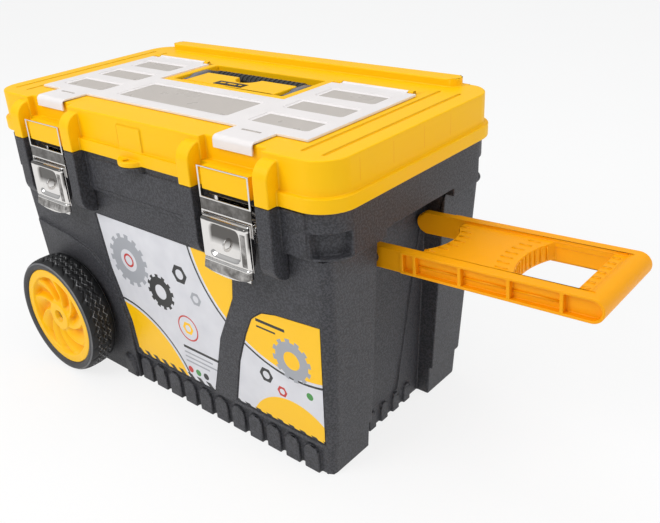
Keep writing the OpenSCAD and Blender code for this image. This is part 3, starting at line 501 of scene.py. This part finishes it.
def mould(node, finish, width, segments=3, shape=None):
    mesh = frame["nodes"][node].data.copy()
    form = bmesh.new()
    form.from_mesh(mesh)
    bmesh.ops.remove_doubles(form, verts=form.verts, dist=2e-6)
    bmesh.ops.join_triangles(form, faces=form.faces, angle_face_threshold=math.radians(1),
                             angle_shape_threshold=math.radians(180))
    if shape:
        shape(form)
    weigh_edges(form, width, math.radians(34))
    form.to_mesh(mesh)
    form.free()
    smooth_all(mesh)
    piece = join_piece(node + "_moulded", mesh, body_of_node[node], [finish], [node])
    round_edges(piece, width, segments)
    return piece


print("solids to copy from", len(frame["nodes"]))

# %% Mould the shells
MOULDINGS = {
    "body_tub": (black_plastic, 1.5), "lid_shell": (lid_yellow, 1.6), "pull_handle": (orange_plastic, 0.9),
    "carry_handle_bail": (grip_plastic, 1.2), "carry_handle_grip": (grip_plastic, 0.5),
    "tote_tray": (grey_plastic, 0.8), "tote_tray_handle": (yellow_plastic, 1.5),
}
FINE_EDGE = 0.4
SIDES = ("left", "right")
MOULDINGS |= {"organiser_bin_" + place: (grey_plastic, FINE_EDGE) for place in ("left", "centre", "right")}
LATCH_PIECES = {"base": chrome, "lever": chrome, "frame": strap_chrome_painted_reflection}
MOULDINGS |= {"latch_%s_%s" % (part, side): (finish, FINE_EDGE)
              for part, finish in LATCH_PIECES.items() for side in SIDES}
moulded_pieces = {n: mould(n, finish, width * MM) for n, (finish, width) in MOULDINGS.items()}
print("mouldings", len(moulded_pieces))

# %% [markdown]
# ## The clear cover
# The cover is one thin sheet with sunk panes and two tabs that curl over the lid's front edge. One bevel
# width can't give all its corners, so two larger roundings come before the fine bevel: the tabs roll over,
# and the corners of the sunk panes are round in plan. Panes are the faces that lie just under the top.

# %% Clear cover with its sunk windows
BEAD_RISE, COVER_PROUD = 10.0, 3.4
DECK_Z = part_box("lid_shell")[1].z - BEAD_RISE * MM
COVER_TOP = DECK_Z + COVER_PROUD * MM
TAB_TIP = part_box("organiser_cover")[0].y
PANE_SUNK, PANE_STEP, PANE_RIM = 1.0 * MM, 0.9 * MM, 3.0 * MM
WINDOW_CORNER, TAB_ROLL = 5.0 * MM, 6.0 * MM


def near(value, target):
    return abs(value - target) < 0.05 * MM


def cover_roundings(form):
    def rolled(edge):
        return all(near(v.co.y, TAB_TIP) and near(v.co.z, COVER_TOP) for v in edge.verts)

    def upright(edge):
        a, b = (v.co for v in edge.verts)
        plumb = near(a.x, b.x) and near(a.y, b.y)
        return plumb and near(abs(a.z - b.z), PANE_SUNK) and near(max(a.z, b.z), COVER_TOP)

    def sunk(face):
        return face.normal.z > 0.9 and abs(COVER_TOP - face.calc_center_median().z - PANE_SUNK) < 0.5 * MM

    corners = [e for e in form.edges if upright(e)]
    bmesh.ops.bevel(form, geom=corners, offset=WINDOW_CORNER, segments=4, affect="EDGES", profile=0.5)
    panes = [f for f in form.faces if sunk(f)]
    bmesh.ops.inset_region(form, faces=panes, thickness=PANE_RIM, depth=-PANE_STEP, use_even_offset=True)
    noses = [e for e in form.edges if rolled(e)]
    bmesh.ops.bevel(form, geom=noses, offset=TAB_ROLL, segments=6, affect="EDGES", profile=0.5)
    print("window corners", len(corners), "panes", len(panes), "rolled edges", len(noses))


cover = mould("organiser_cover", cover_milky, 0.7 * MM, shape=cover_roundings)
cover.data.materials.append(cover_window)
for face in cover.data.polygons:
    if face.normal.z > 0.9 and abs(COVER_TOP - face.center.z - PANE_SUNK - PANE_STEP) < 0.3 * MM:
        face.material_index = 1
print("panes", sum(p.material_index for p in cover.data.polygons))

# %% [markdown]
# ## Pins, rivets and films
# Turned pins and pressed rivets are true cylinders in the packed model, and the films are flat sheets.
# Modelling them again would add nothing, so they keep their CAD shape and only take a finish.

# %% Finish the plain pieces
TURNED = ("wheel_axles", "axle_caps", "latch_lever_pins", "latch_frame_pins_left", "latch_frame_pins_right",
          "lid_hinge_pins", "pull_handle_pins", "cover_hinge_pins", "carry_handle_pins")
PLAIN = {"latch_rivets": chrome, "centre_label": label_film, "side_label": label_film}
PLAIN |= {node: steel for node in TURNED}
for node, finish in PLAIN.items():
    solid = frame["nodes"][node]
    if not solid.material_slots:
        solid.data.materials.append(finish)
    solid.material_slots[0].material = finish
print("plain nodes", len(PLAIN))

# %% [markdown]
# ## Wheels
# The yellow disc is a fan of curved vanes, each sloping down to the foot of the next. Vanes could be swept
# one by one and joined, but a height map in polar coordinates gives the form exactly and with no seams:
# height depends on the radius and on the angle less a twist.

# %% Model the wheel discs
VANES = 9
VANE_TWIST = 0.75
AROUND = 360
HUB_R, HOLE_R, RIM_R = 21 * MM, 9.6 * MM, 62 * MM
FACE_SUNK, VANE_DROP, CREST_RISE, HUB_SUNK = 3.2 * MM, 7.5 * MM, 1.2 * MM, 1.5 * MM
EDGE_ROUND, RIM_SHORT, WEB_BACK = 0.8 * MM, 4 * MM, 18 * MM


def step(low, high, value):
    t = min(1.0, max(0.0, (value - low) / (high - low)))
    return t * t * (3 - 2 * t)


def vane_depth(radius, angle):
    """Depth of the disc's face below its rim, in metres."""
    reach = (radius - HUB_R) / (RIM_R - HUB_R)
    turn = (angle - VANE_TWIST * max(0.0, reach) ** 0.9) * VANES / math.tau
    ramp = turn - math.floor(turn)
    blade = step(0.0, 0.16, ramp) * (1 - step(0.28, 1.0, ramp))
    crest = math.exp(-((ramp - 0.2) / 0.07) ** 2)
    ends = step(0.02, 0.2, reach) * step(0.0, 0.16, 1 - reach)
    dish = FACE_SUNK + ends * (VANE_DROP * (1 - blade) - CREST_RISE * crest)
    rim = step(RIM_R - 2.0 * MM, RIM_R + 0.6 * MM, radius)
    hub = 1 - step(HUB_R - 0.5 * MM, HUB_R + 1.5 * MM, radius)
    return dish * (1 - rim) * (1 - hub) + HUB_SUNK * hub


def ring_grid(rows, around, point):
    """Closed rings of points joined by quads; point(row, angle) gives a place."""
    form = bmesh.new()
    rings = []
    for row in range(rows):
        rings.append([form.verts.new(point(row, math.tau * i / around)) for i in range(around)])
    for row in range(rows):
        first, second = rings[row], rings[(row + 1) % rows]
        for i in range(around):
            k = (i + 1) % around
            form.faces.new((first[i], first[k], second[k], second[i]))
    bmesh.ops.recalc_face_normals(form, faces=form.faces)
    mesh = bpy.data.meshes.new("ring")
    form.to_mesh(mesh)
    form.free()
    smooth_all(mesh)
    return mesh


print("vane depth half way out", round(vane_depth((HUB_R + RIM_R) / 2, 0.0) / MM, 2), "mm")

# %% Paint shade between the vanes and turn the discs


def hollow_painted_shade(finish, tone):
    """Painted shade: a deeper tone down between the vanes, for yellow light bouncing from wall to wall."""
    _, y, _ = finish.xyz()
    depth = WHEEL_FACE - y.of("ABSOLUTE")
    return finish.blend(((depth - 2.5 * MM) / (8 * MM)).clamp() * 0.55, tone, DEEP_YELLOW)


WHEEL_FACE = abs(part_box("wheel_disc_front")[0].y)
# The wheel's yellow carries painted shade down between the vanes.
wheel_yellow_painted_shade = moulded("wheel_yellow_painted_shade", YELLOW, 1300.0, 0.0001, 0.38, 0.03, 0.0, 0.25, hollow_painted_shade)


def wheel_disc(word, side):
    low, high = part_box("wheel_disc_" + word)
    centre = (low + high) / 2
    radius = (high.x - low.x) / 2 - 0.1 * MM
    face = low.y if side < 0 else high.y
    deep = high.y - low.y
    profile = [(HOLE_R + (radius - EDGE_ROUND - HOLE_R) * i / 64, None) for i in range(65)]
    profile += [(radius, EDGE_ROUND), (radius, deep - RIM_SHORT), (RIM_R, deep - RIM_SHORT),
                (RIM_R - 2 * MM, WEB_BACK), (HUB_R, WEB_BACK), (HUB_R, deep), (HOLE_R, deep)]

    def point(row, angle):
        r, depth = profile[row]
        if depth is None:
            depth = vane_depth(r, angle)
        return (centre.x + r * math.cos(angle), face - side * depth, centre.z + r * math.sin(angle))

    mesh = ring_grid(len(profile), AROUND, point)
    return join_piece("wheel_disc_%s_vaned" % word, mesh, word + "_wheel", [wheel_yellow_painted_shade],
                      ["wheel_disc_" + word])


print("disc face at", round(WHEEL_FACE / MM, 1), "mm from the middle")

# %% [markdown]
# ## Tyres
# A tyre is a turned profile. Its tread is cut by three zigzag grooves, with slanting sipes on the
# shoulders. The grooves could be a bump only, but they show on the outline, so the points of the tread are
# pushed in instead.

# %% Model the tyres and set both wheels
TREAD_DEPTH, GROOVE_W, SIPE_W = 1.6 * MM, 0.05, 0.09
AROUND_TREAD = 12 * ZIGZAGS


def tread_cut(angle, across):
    """Depth of the tread pattern in metres; across runs from -1 to 1 over the tread."""
    cell = angle * ZIGZAGS / math.tau
    wave = 2 * abs(2 * (cell - math.floor(cell)) - 1) - 1
    groove = max(math.exp(-((across - ZIG * wave - row) / GROOVE_W) ** 2) for row in TREAD_ROWS)
    lean = cell / 2 - 0.55 * across
    sipe = math.exp(-((lean - math.floor(lean) - 0.5) / SIPE_W) ** 2) * step(0.55, 0.7, abs(across))
    return TREAD_DEPTH * max(groove, sipe)


def tyre(word, side):
    low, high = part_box("tyre_" + word)
    centre = (low + high) / 2
    outer = (high.x - low.x) / 2 - 0.05 * MM
    half = (high.y - low.y) / 2
    seat = RIM_R + 11.6 * MM
    steps = [i / 20 for i in range(-20, 21)]
    tread = [(outer - 1.2 * MM * abs(t) ** 3, t * (half - SHOULDER), t) for t in steps]
    left = [(seat, 3 * MM - half, None), (seat + 4 * MM, 0.4 * MM - half, None),
            (outer - 7 * MM, -half, None), (outer - 4.5 * MM, 0.5 * MM - half, None),
            (outer - 2.4 * MM, 3 * MM - half, None)]
    right = [(r, -y, None) for r, y, _ in reversed(left)]
    profile = left + tread + right

    def point(row, angle):
        r, y, t = profile[row]
        if t is not None:
            r -= tread_cut(angle, t * side)
        return (centre.x + r * math.cos(angle), centre.y + y, centre.z + r * math.sin(angle))

    mesh = ring_grid(len(profile), AROUND_TREAD, point)
    return join_piece("tyre_%s_treaded" % word, mesh, word + "_wheel", [rubber], ["tyre_" + word])


WHEELS = (("front", -1), ("rear", 1))
for word, side in WHEELS:
    wheel_disc(word, side)
    tyre(word, -side)
print("wheels", len(WHEELS), "with", VANES, "vanes and", ZIGZAGS, "zigzags each")

# %% [markdown]
# ## Pressed latch faces
# A draw latch is stamped from thin sheet: a raised frame round a square dish, and a lip that curls out for
# the finger. It could be cut and bevelled from a box, but a press leaves soft shoulders everywhere. One
# height map over the lever's face gives them all at once. The sheet is laid on the lever and rides with it.

# %% Stamp the latch faces
DISH, DISH_SQUAT, DISH_UP, DISH_WALL, LIP_H = 25 * MM, 1.22, 40 * MM, 5 * MM, 16 * MM
STAMP_RISE, DISH_DEPTH, RIDGE_RISE, LIP_RISE, CREASE_DEPTH = (r * MM for r in (4.8, 3.4, 0.5, 2.2, 2.4))
PLATE_GAP, SHEET, STAMP_INSET, LIP_BOW = 0.2 * MM, 0.5 * MM, 0.7 * MM, 5 * MM
LEVER_GAP, LEVER_T = 0.4 * MM, 1.5 * MM


def stamp_height(x, z, half, foot, top):
    """Height of the stamping in front of the lever's plate, in metres."""
    sides = step(0.0, 2.5 * MM, half - abs(x))
    head = step(0.0, 3.0 * MM, top - z)
    border = ((x / DISH) ** 6 + ((z - foot - DISH_UP) * DISH_SQUAT / DISH) ** 6) ** (1 / 6)
    pit = step(0.0, DISH_WALL, max(0.0, 1 - border) * DISH)
    ridge = math.exp(-((border - 1.08) / 0.07) ** 2)
    lip = step(foot + LIP_H, foot + LIP_H / 4, z)
    crease = math.exp(-((z - foot - LIP_H) / (0.9 * MM)) ** 2)
    height = STAMP_RISE - DISH_DEPTH * pit + RIDGE_RISE * ridge + LIP_RISE * lip - CREASE_DEPTH * crease
    return PLATE_GAP + max(0.0, height) * sides * head


def plate_front(word):
    """Y of the front of the lever's flat plate, a running gap and a plate in front of the frame's."""
    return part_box("latch_frame_" + word)[0].y - LEVER_GAP - LEVER_T


print("lever plate at y", round(plate_front("left") / MM, 2), "mm")

# %% Plate the sheets and lay them


def dish_painted_reflection(finish, tone):
    """Painted dark reflections: the dish's own walls, towards its top; the tub, on head, lip and border."""
    x, y, z = finish.xyz()
    low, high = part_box("latch_lever_left")
    depth = ((y - (plate_front("left") - STAMP_RISE)) / (2.4 * MM)).clamp()
    patchiness = finish.noise(90.0, 3.0, 0.6)
    dish = depth * ((z - (low.z + 34 * MM)) / (9 * MM)).clamp() * (z < high.z - 6 * MM)
    lip = between(z, low.z + 2 * MM, low.z + 13 * MM) * (patchiness * 1.5).clamp()
    head = between(z, high.z - 4 * MM, high.z - 1 * MM)
    border = 0.0
    for word in SIDES:
        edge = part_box("latch_lever_" + word)[1].x
        border = border + between(x, edge - 10 * MM, edge - 3 * MM)
    border = border * between(z, low.z + 19 * MM, high.z - 8 * MM) * (patchiness * 1.6).clamp()
    return finish.blend((dish * 0.92 + lip * 0.9 + head * 0.8 + border * 0.9).clamp(), tone, PAINTED_REFLECTION_DARK)


def stamped_face(word):
    low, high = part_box("latch_lever_" + word)
    middle = (low.x + high.x) / 2
    half = (high.x - low.x) / 2 - STAMP_INSET
    foot, top = low.z, high.z
    plate = plate_front(word)
    columns, rows = 72, 80
    form = bmesh.new()
    grid = []
    for j in range(rows + 1):
        line = []
        for i in range(columns + 1):
            x = half * (2 * i / columns - 1)
            bottom = foot + LIP_BOW * (x / half) ** 2
            z = bottom + (top - bottom) * j / rows
            line.append(form.verts.new((middle + x, plate - stamp_height(x, z, half, foot, top), z)))
        grid.append(line)
    for j in range(rows):
        for i in range(columns):
            form.faces.new((grid[j][i], grid[j][i + 1], grid[j + 1][i + 1], grid[j + 1][i]))
    mesh = bpy.data.meshes.new("latch_face")
    form.to_mesh(mesh)
    form.free()
    smooth_all(mesh)
    piece = join_piece("latch_face_" + word, mesh, "latch_lever_" + word, [dished_chrome_painted_reflection])
    sheet = piece.modifiers.new("sheet", "SOLIDIFY")
    sheet.thickness = SHEET
    sheet.offset = 1.0
    return piece


# Plating with painted dark reflections in the dish and on the head, lip and border.
dished_chrome_painted_reflection = plated("dished_plating_painted_reflection", (0.80, 0.78, 0.76), 0.05, 0.06, dish_painted_reflection)
for word in SIDES:
    stamped_face(word)
print("latch faces", len(SIDES))

# %% [markdown]
# ## Grip ribs on the pull handle
# Short raised bars keep fingers from slipping: a row along the arched front edge, a row before the window
# and a row on the end bar. A bump would vanish from the side, so each is a small bevelled bar, laid by a
# loop in the handle's own tilted frame.

# %% A rib in the handle's frame
pull_joint = next(j for j in frame["joints"] if j["name"] == "pull_handle_pivot")
PULL_TILT = math.radians(2.8)
pull_frame = Matrix.Translation(Vector(pull_joint["pos_m"])) @ Matrix.Rotation(-PULL_TILT, 4, "Y")


def rib_bars(name, bars, body, finish, where):
    form = bmesh.new()
    for centre, size, turn in bars:
        spot = where @ Matrix.Translation(Vector(centre) * MM) @ Matrix.Rotation(turn, 4, "Z")
        scale = Matrix.Diagonal((*[s * MM for s in size], 1.0))
        made = bmesh.ops.create_cube(form, size=1.0, matrix=spot @ scale)
        edges = {e for v in made["verts"] for e in v.link_edges}
        rounding = 0.3 * MM * min(1.5, min(size))
        bmesh.ops.bevel(form, geom=list(edges), offset=rounding, segments=2, affect="EDGES")
    mesh = bpy.data.meshes.new(name)
    form.to_mesh(mesh)
    form.free()
    smooth_all(mesh)
    return join_piece(name, mesh, body, [finish])


print("handle pivot", [round(c, 4) for c in pull_frame.translation])

# %% Place the ribs
PLATE_TOP, RIB_RISE = 10.0, 1.8
FRONT_ARCH_X, FRONT_ARCH_R = 12.0, 52.0
WINDOW_X, WINDOW_ARCH_R = 148.0, 90.4
END_BAR = 222.0
LEDGE_X, LEDGE_L, LEDGE_Y = (79, 133, 187), 49, 51.6


def window_edge(y):
    """X of the arched side of the handle's window."""
    return WINDOW_X + WINDOW_ARCH_R - math.sqrt(WINDOW_ARCH_R ** 2 - y * y)


def front_edge(y):
    """X of the arched front edge of the handle's plate."""
    return FRONT_ARCH_X + math.sqrt(FRONT_ARCH_R ** 2 - y * y)


across = range(-36, 37, 12)
arch_bars = [((front_edge(y) + 9, y, PLATE_TOP), (13, 2.4, RIB_RISE), 0.0) for y in across]
window_bars = [((window_edge(y) - 14, y, PLATE_TOP), (14, 2.4, RIB_RISE), 0.0) for y in across]
wall_bars = [((window_edge(y) + 0.4, y, 0.0), (RIB_RISE, 3.0, 16), math.atan2(y, WINDOW_ARCH_R))
             for y in range(-36, 37, 8)]
end_bars = [((END_BAR + 5.5, y, PLATE_TOP), (8, 3.6, RIB_RISE), 0.0) for y in across]
ledges = [((x, side * LEDGE_Y, -2.0), (LEDGE_L, 3.0, RIB_RISE), 0.0) for x in LEDGE_X for side in (-1, 1)]
ribs = arch_bars + window_bars + wall_bars + end_bars + ledges
rib_bars("pull_handle_ribs", ribs, "pull_handle", orange_plastic, pull_frame)
print("ribs", len(ribs))

# %% [markdown]
# ## Small moulded marks
# A slot on each tab of the cover, a plain dark plate on the island under the carry handle, one more foot
# rib beside each wheel and the flat tops of the carry handle's arms. They could be cut into the shells, but
# a shell that is cut loses its clean faces, so each is a thin piece of its own that rides with what carries
# it.

# %% Slots and plate
lever_low, lever_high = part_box("latch_lever_right")
LATCH_X = (lever_low.x + lever_high.x) / 2 / MM
SLOT_Y = -122.0
PLATE_X, PLATE_Y, ISLAND_PROUD = -4.0, 14.5, 1.5
HERE = Matrix.Identity(4)
slots = [((side * LATCH_X, SLOT_Y, COVER_TOP / MM), (28, 3.2, 0.7), 0.0) for side in (-1, 1)]
rib_bars("cover_slots", slots, "organiser_cover", cover_window, HERE)
island_top = DECK_Z / MM + ISLAND_PROUD
plate = [((PLATE_X, PLATE_Y, island_top), (52, 15, 0.8), 0.0)]
rib_bars("island_plate", plate, "lid", grip_plastic, HERE)
chips = [((PLATE_X + dx, PLATE_Y, island_top + 0.5), (width, 3.4, 0.4), 0.0)
         for dx, width in ((-14, 9), (3, 15), (18, 5))]
rib_bars("island_plate_chips", chips, "lid", yellow_plastic, HERE)
print("slots", len(slots), "chips", len(chips))

# %% Foot ribs and handle arms


def prism(name, outline, place, body, finish, rounding):
    """A closed outline (u, v) swept from w = 0 to w = 1; place(u, v, w) gives millimetres."""
    form = bmesh.new()
    ends = [[form.verts.new(Vector(place(u, v, w)) * MM) for u, v in outline] for w in (0, 1)]
    front = form.faces.new(ends[0])
    form.faces.new(ends[1])
    for i in range(len(outline)):
        k = (i + 1) % len(outline)
        form.faces.new((ends[0][i], ends[0][k], ends[1][k], ends[1][i]))
    bmesh.ops.recalc_face_normals(form, faces=form.faces)
    bmesh.ops.bevel(form, geom=list(front.edges), offset=rounding * MM, segments=3, affect="EDGES")
    mesh = bpy.data.meshes.new(name)
    form.to_mesh(mesh)
    form.free()
    smooth_all(mesh)
    return join_piece(name, mesh, body, [finish])


RIB_X, RIB_HALF, RIB_TOP, RIB_FOOT = -103.0, 11.5, 38.0, 0.2
RIB_FACE, RIB_T = 146.6, 4.6
turns = [math.pi * i / 12 for i in range(13)]
round_head = [(RIB_HALF * math.cos(a), RIB_TOP - RIB_HALF + RIB_HALF * math.sin(a)) for a in turns]
rib_outline = [(-RIB_HALF, RIB_FOOT), (RIB_HALF, RIB_FOOT)] + round_head
for word, side in WHEELS:
    prism("foot_rib_" + word, rib_outline, lambda u, v, w: (RIB_X + u, side * (RIB_FACE - RIB_T * w), v),
          "root", black_plastic, 1.0)
arm_side = [(14, 396), (14, 400.0), (26, 400.6), (34, 403.2), (57, 403.2), (57, 396)]
ARM_IN, ARM_W = 86.6, 10.8
for word, side in zip(SIDES, (-1, 1)):
    prism("carry_arm_" + word, arm_side, lambda u, v, w: (side * (ARM_IN + ARM_W * w), u, v), "carry_handle",
          arm_plastic, 0.6)
print("foot ribs", len(WHEELS), "handle arms", len(SIDES))

# %% [markdown]
# ## Studio
# A product shot has a pale floor, one wide key from the left front, a softer fill from the right and an
# even sky. More lamps would burn the floor white, so the floor itself glows for the rays that show it, and
# the lamps stay at a level at which a colour renders about as it is written.

# %% Floor


def seen_rays(graph):
    """1 for rays that show the background: from the camera, a mirror or clear plastic."""
    seen = 0.0
    for name in ("Is Camera Ray", "Is Glossy Ray", "Is Transmission Ray"):
        seen = seen + graph.node("ShaderNodeLightPath", out=name)
    return seen.clamp()


def pale_floor():
    finish = Finish("pale_floor", Roughness=0.9, Specular_IOR_Level=0.1)
    finish.feed("Base Color", finish.blend(finish.noise(3.0), (0.88, 0.88, 0.88, 1), (0.92, 0.92, 0.92, 1)))
    glow = finish.node("ShaderNodeEmission", {0: (1, 1, 1, 1), 1: 1.0})
    plain = Flow(finish, finish.shader.outputs[0])
    finish.end(finish.node("ShaderNodeMixShader", {0: 0.8 * seen_rays(finish), 1: plain, 2: glow}))
    return finish.material


bpy.ops.mesh.primitive_grid_add(x_subdivisions=8, y_subdivisions=8, size=16, location=(0, 0, -0.0005))
floor = bpy.context.object
floor.name = "studio_floor"
floor.data.materials.append(pale_floor())
floor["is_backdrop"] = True
print("floor", round(floor.dimensions.x), "m wide")

# %% Lamps and sky


def softbox(name, place, target, size, watts):
    lamp = bpy.data.lights.new(name, "AREA")
    lamp.shape = "RECTANGLE"
    lamp.size, lamp.size_y = size
    lamp.energy = watts
    holder = bpy.data.objects.new(name, lamp)
    bpy.context.collection.objects.link(holder)
    aim = (Vector(target) - Vector(place)).to_track_quat("-Z", "Y")
    holder.matrix_world = Matrix.Translation(Vector(place)) @ aim.to_matrix().to_4x4()


softbox("key", (-0.6, -1.9, 1.9), (0.0, 0.0, 0.2), (1.4, 1.2), 30)
softbox("fill", (2.2, 0.4, 1.3), (0.0, 0.0, 0.2), (1.2, 1.2), 10)
softbox("top", (0.0, 0.2, 2.4), (0.0, 0.0, 0.3), (1.6, 1.2), 10)

world = bpy.data.worlds.new("studio")
world.use_nodes = True
bpy.context.scene.world = world
sky = Graph(world.node_tree)
height = sky.axes(sky.node("ShaderNodeTexCoord"))[2]
tone = sky.blend((height * 1.3).clamp(), (0.38, 0.39, 0.40, 1), (0.66, 0.67, 0.68, 1))
sky.end(sky.node("ShaderNodeBackground", {0: tone, 1: 1.0}))
print("lamps", len(bpy.data.lights))

# %% [markdown]
# ## Sizes
# The dressed chest has to keep to the box of the packed one, or a pose would clip. Both boxes are printed,
# because a bevel or a sheet that grew past the model shows there first.

# %% Print the two boxes
visual_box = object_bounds()
for title, box in (("cad box", cad_box), ("visual box", visual_box)):
    print(title, [[round(c, 4) for c in corner] for corner in box])
